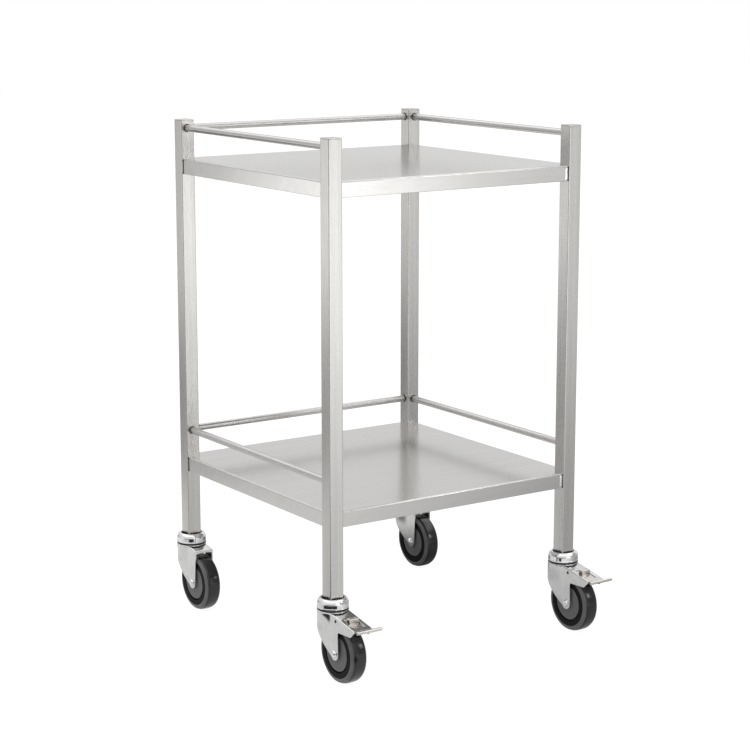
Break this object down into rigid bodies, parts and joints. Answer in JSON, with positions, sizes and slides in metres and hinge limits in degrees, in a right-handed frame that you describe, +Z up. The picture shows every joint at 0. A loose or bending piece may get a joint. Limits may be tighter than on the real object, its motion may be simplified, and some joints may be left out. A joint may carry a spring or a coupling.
{
  "type": "instrument cart",
  "caption": "Open steel instrument cart: square-tube posts, folded shelves with guard rails on the closed sides, swivel casters, foot brakes on the open side.",
  "frame": {"origin": "on the floor, under the middle of the cart's bounding box", "axes": "+Z up; the open side, with the braked casters, faces -Y; +X to the right as seen from the open side"},
  "size_m": [0.534, 0.585, 0.868],
  "materials": {
    "brushed_steel": "brushed along the tube and the sheet",
    "polished_steel": "polished rod, satin cap",
    "chrome": "mirror plate",
    "zinc": "bright zinc plate, satin",
    "nickel": "dull nickel plate, warm grey",
    "rubber": "matte",
    "hub_plastic": "satin",
    "seal_rubber": "matte",
    "plug_plastic": "matte"
  },
  "bodies": {
    "frame": {"post_front_left": "brushed_steel", "post_front_right": "brushed_steel", "post_back_left": "brushed_steel", "post_back_right": "brushed_steel", "post_cap_front_left": "polished_steel", "post_cap_front_right": "polished_steel", "post_cap_back_left": "polished_steel", "post_cap_back_right": "polished_steel", "upper_shelf": "brushed_steel", "upper_rail_left": "polished_steel", "upper_rail_right": "polished_steel", "upper_rail_back": "polished_steel", "lower_shelf": "brushed_steel", "lower_rail_left": "polished_steel", "lower_rail_right": "polished_steel", "lower_rail_back": "polished_steel", "caster_plug_front_left": "plug_plastic", "caster_plug_front_right": "plug_plastic", "caster_plug_back_left": "plug_plastic", "caster_plug_back_right": "plug_plastic", "caster_stem_front_left": "zinc", "caster_stem_front_right": "zinc", "caster_stem_back_left": "zinc", "caster_stem_back_right": "zinc", "caster_collar_front_left": "chrome", "caster_collar_front_right": "chrome", "caster_collar_back_left": "chrome", "caster_collar_back_right": "chrome", "caster_bearing_front_left": "seal_rubber", "caster_bearing_front_right": "seal_rubber", "caster_bearing_back_left": "seal_rubber", "caster_bearing_back_right": "seal_rubber"},
    "fork_front_left": {"fork_front_left": "zinc", "axle_sleeve_front_left": "zinc", "axle_bolt_front_left": "chrome", "axle_nut_front_left": "zinc", "brake_pin_front_left": "chrome"},
    "wheel_front_left": {"tyre_front_left": "rubber", "hub_front_left": "hub_plastic"},
    "brake_front_left": {"brake_lever_front_left": "nickel"},
    "fork_front_right": {"fork_front_right": "zinc", "axle_sleeve_front_right": "zinc", "axle_bolt_front_right": "chrome", "axle_nut_front_right": "zinc", "brake_pin_front_right": "chrome"},
    "wheel_front_right": {"tyre_front_right": "rubber", "hub_front_right": "hub_plastic"},
    "brake_front_right": {"brake_lever_front_right": "nickel"},
    "fork_back_left": {"fork_back_left": "zinc", "axle_sleeve_back_left": "zinc", "axle_bolt_back_left": "chrome", "axle_nut_back_left": "zinc"},
    "wheel_back_left": {"tyre_back_left": "rubber", "hub_back_left": "hub_plastic"},
    "fork_back_right": {"fork_back_right": "zinc", "axle_sleeve_back_right": "zinc", "axle_bolt_back_right": "chrome", "axle_nut_back_right": "zinc"},
    "wheel_back_right": {"tyre_back_right": "rubber", "hub_back_right": "hub_plastic"}
  },
  "joints": [
    {"name": "swivel_front_left", "type": "hinge", "parent": "frame", "child": "fork_front_left", "pos_m": [-0.241, -0.1983, 0.115], "axis": [0, 0, 1], "continuous": true},
    {"name": "spin_front_left", "type": "hinge", "parent": "fork_front_left", "child": "wheel_front_left", "pos_m": [-0.241, -0.2293, 0.04976], "axis": [1, 0, 0], "continuous": true},
    {"name": "brake_front_left", "type": "hinge", "parent": "fork_front_left", "child": "brake_front_left", "pos_m": [-0.241, -0.2333, 0.105], "axis": [1, 0, 0], "range_deg": [0, 10]},
    {"name": "swivel_front_right", "type": "hinge", "parent": "frame", "child": "fork_front_right", "pos_m": [0.234, -0.1983, 0.115], "axis": [0, 0, 1], "continuous": true},
    {"name": "spin_front_right", "type": "hinge", "parent": "fork_front_right", "child": "wheel_front_right", "pos_m": [0.234, -0.2293, 0.04976], "axis": [1, 0, 0], "continuous": true},
    {"name": "brake_front_right", "type": "hinge", "parent": "fork_front_right", "child": "brake_front_right", "pos_m": [0.234, -0.2333, 0.105], "axis": [1, 0, 0], "range_deg": [0, 10]},
    {"name": "swivel_back_left", "type": "hinge", "parent": "frame", "child": "fork_back_left", "pos_m": [-0.241, 0.2667, 0.115], "axis": [0, 0, 1], "continuous": true},
    {"name": "spin_back_left", "type": "hinge", "parent": "fork_back_left", "child": "wheel_back_left", "pos_m": [-0.241, 0.2357, 0.04976], "axis": [1, 0, 0], "continuous": true},
    {"name": "swivel_back_right", "type": "hinge", "parent": "frame", "child": "fork_back_right", "pos_m": [0.234, 0.2667, 0.115], "axis": [0, 0, 1], "continuous": true},
    {"name": "spin_back_right", "type": "hinge", "parent": "fork_back_right", "child": "wheel_back_right", "pos_m": [0.234, 0.2357, 0.04976], "axis": [1, 0, 0], "continuous": true}
  ]
}
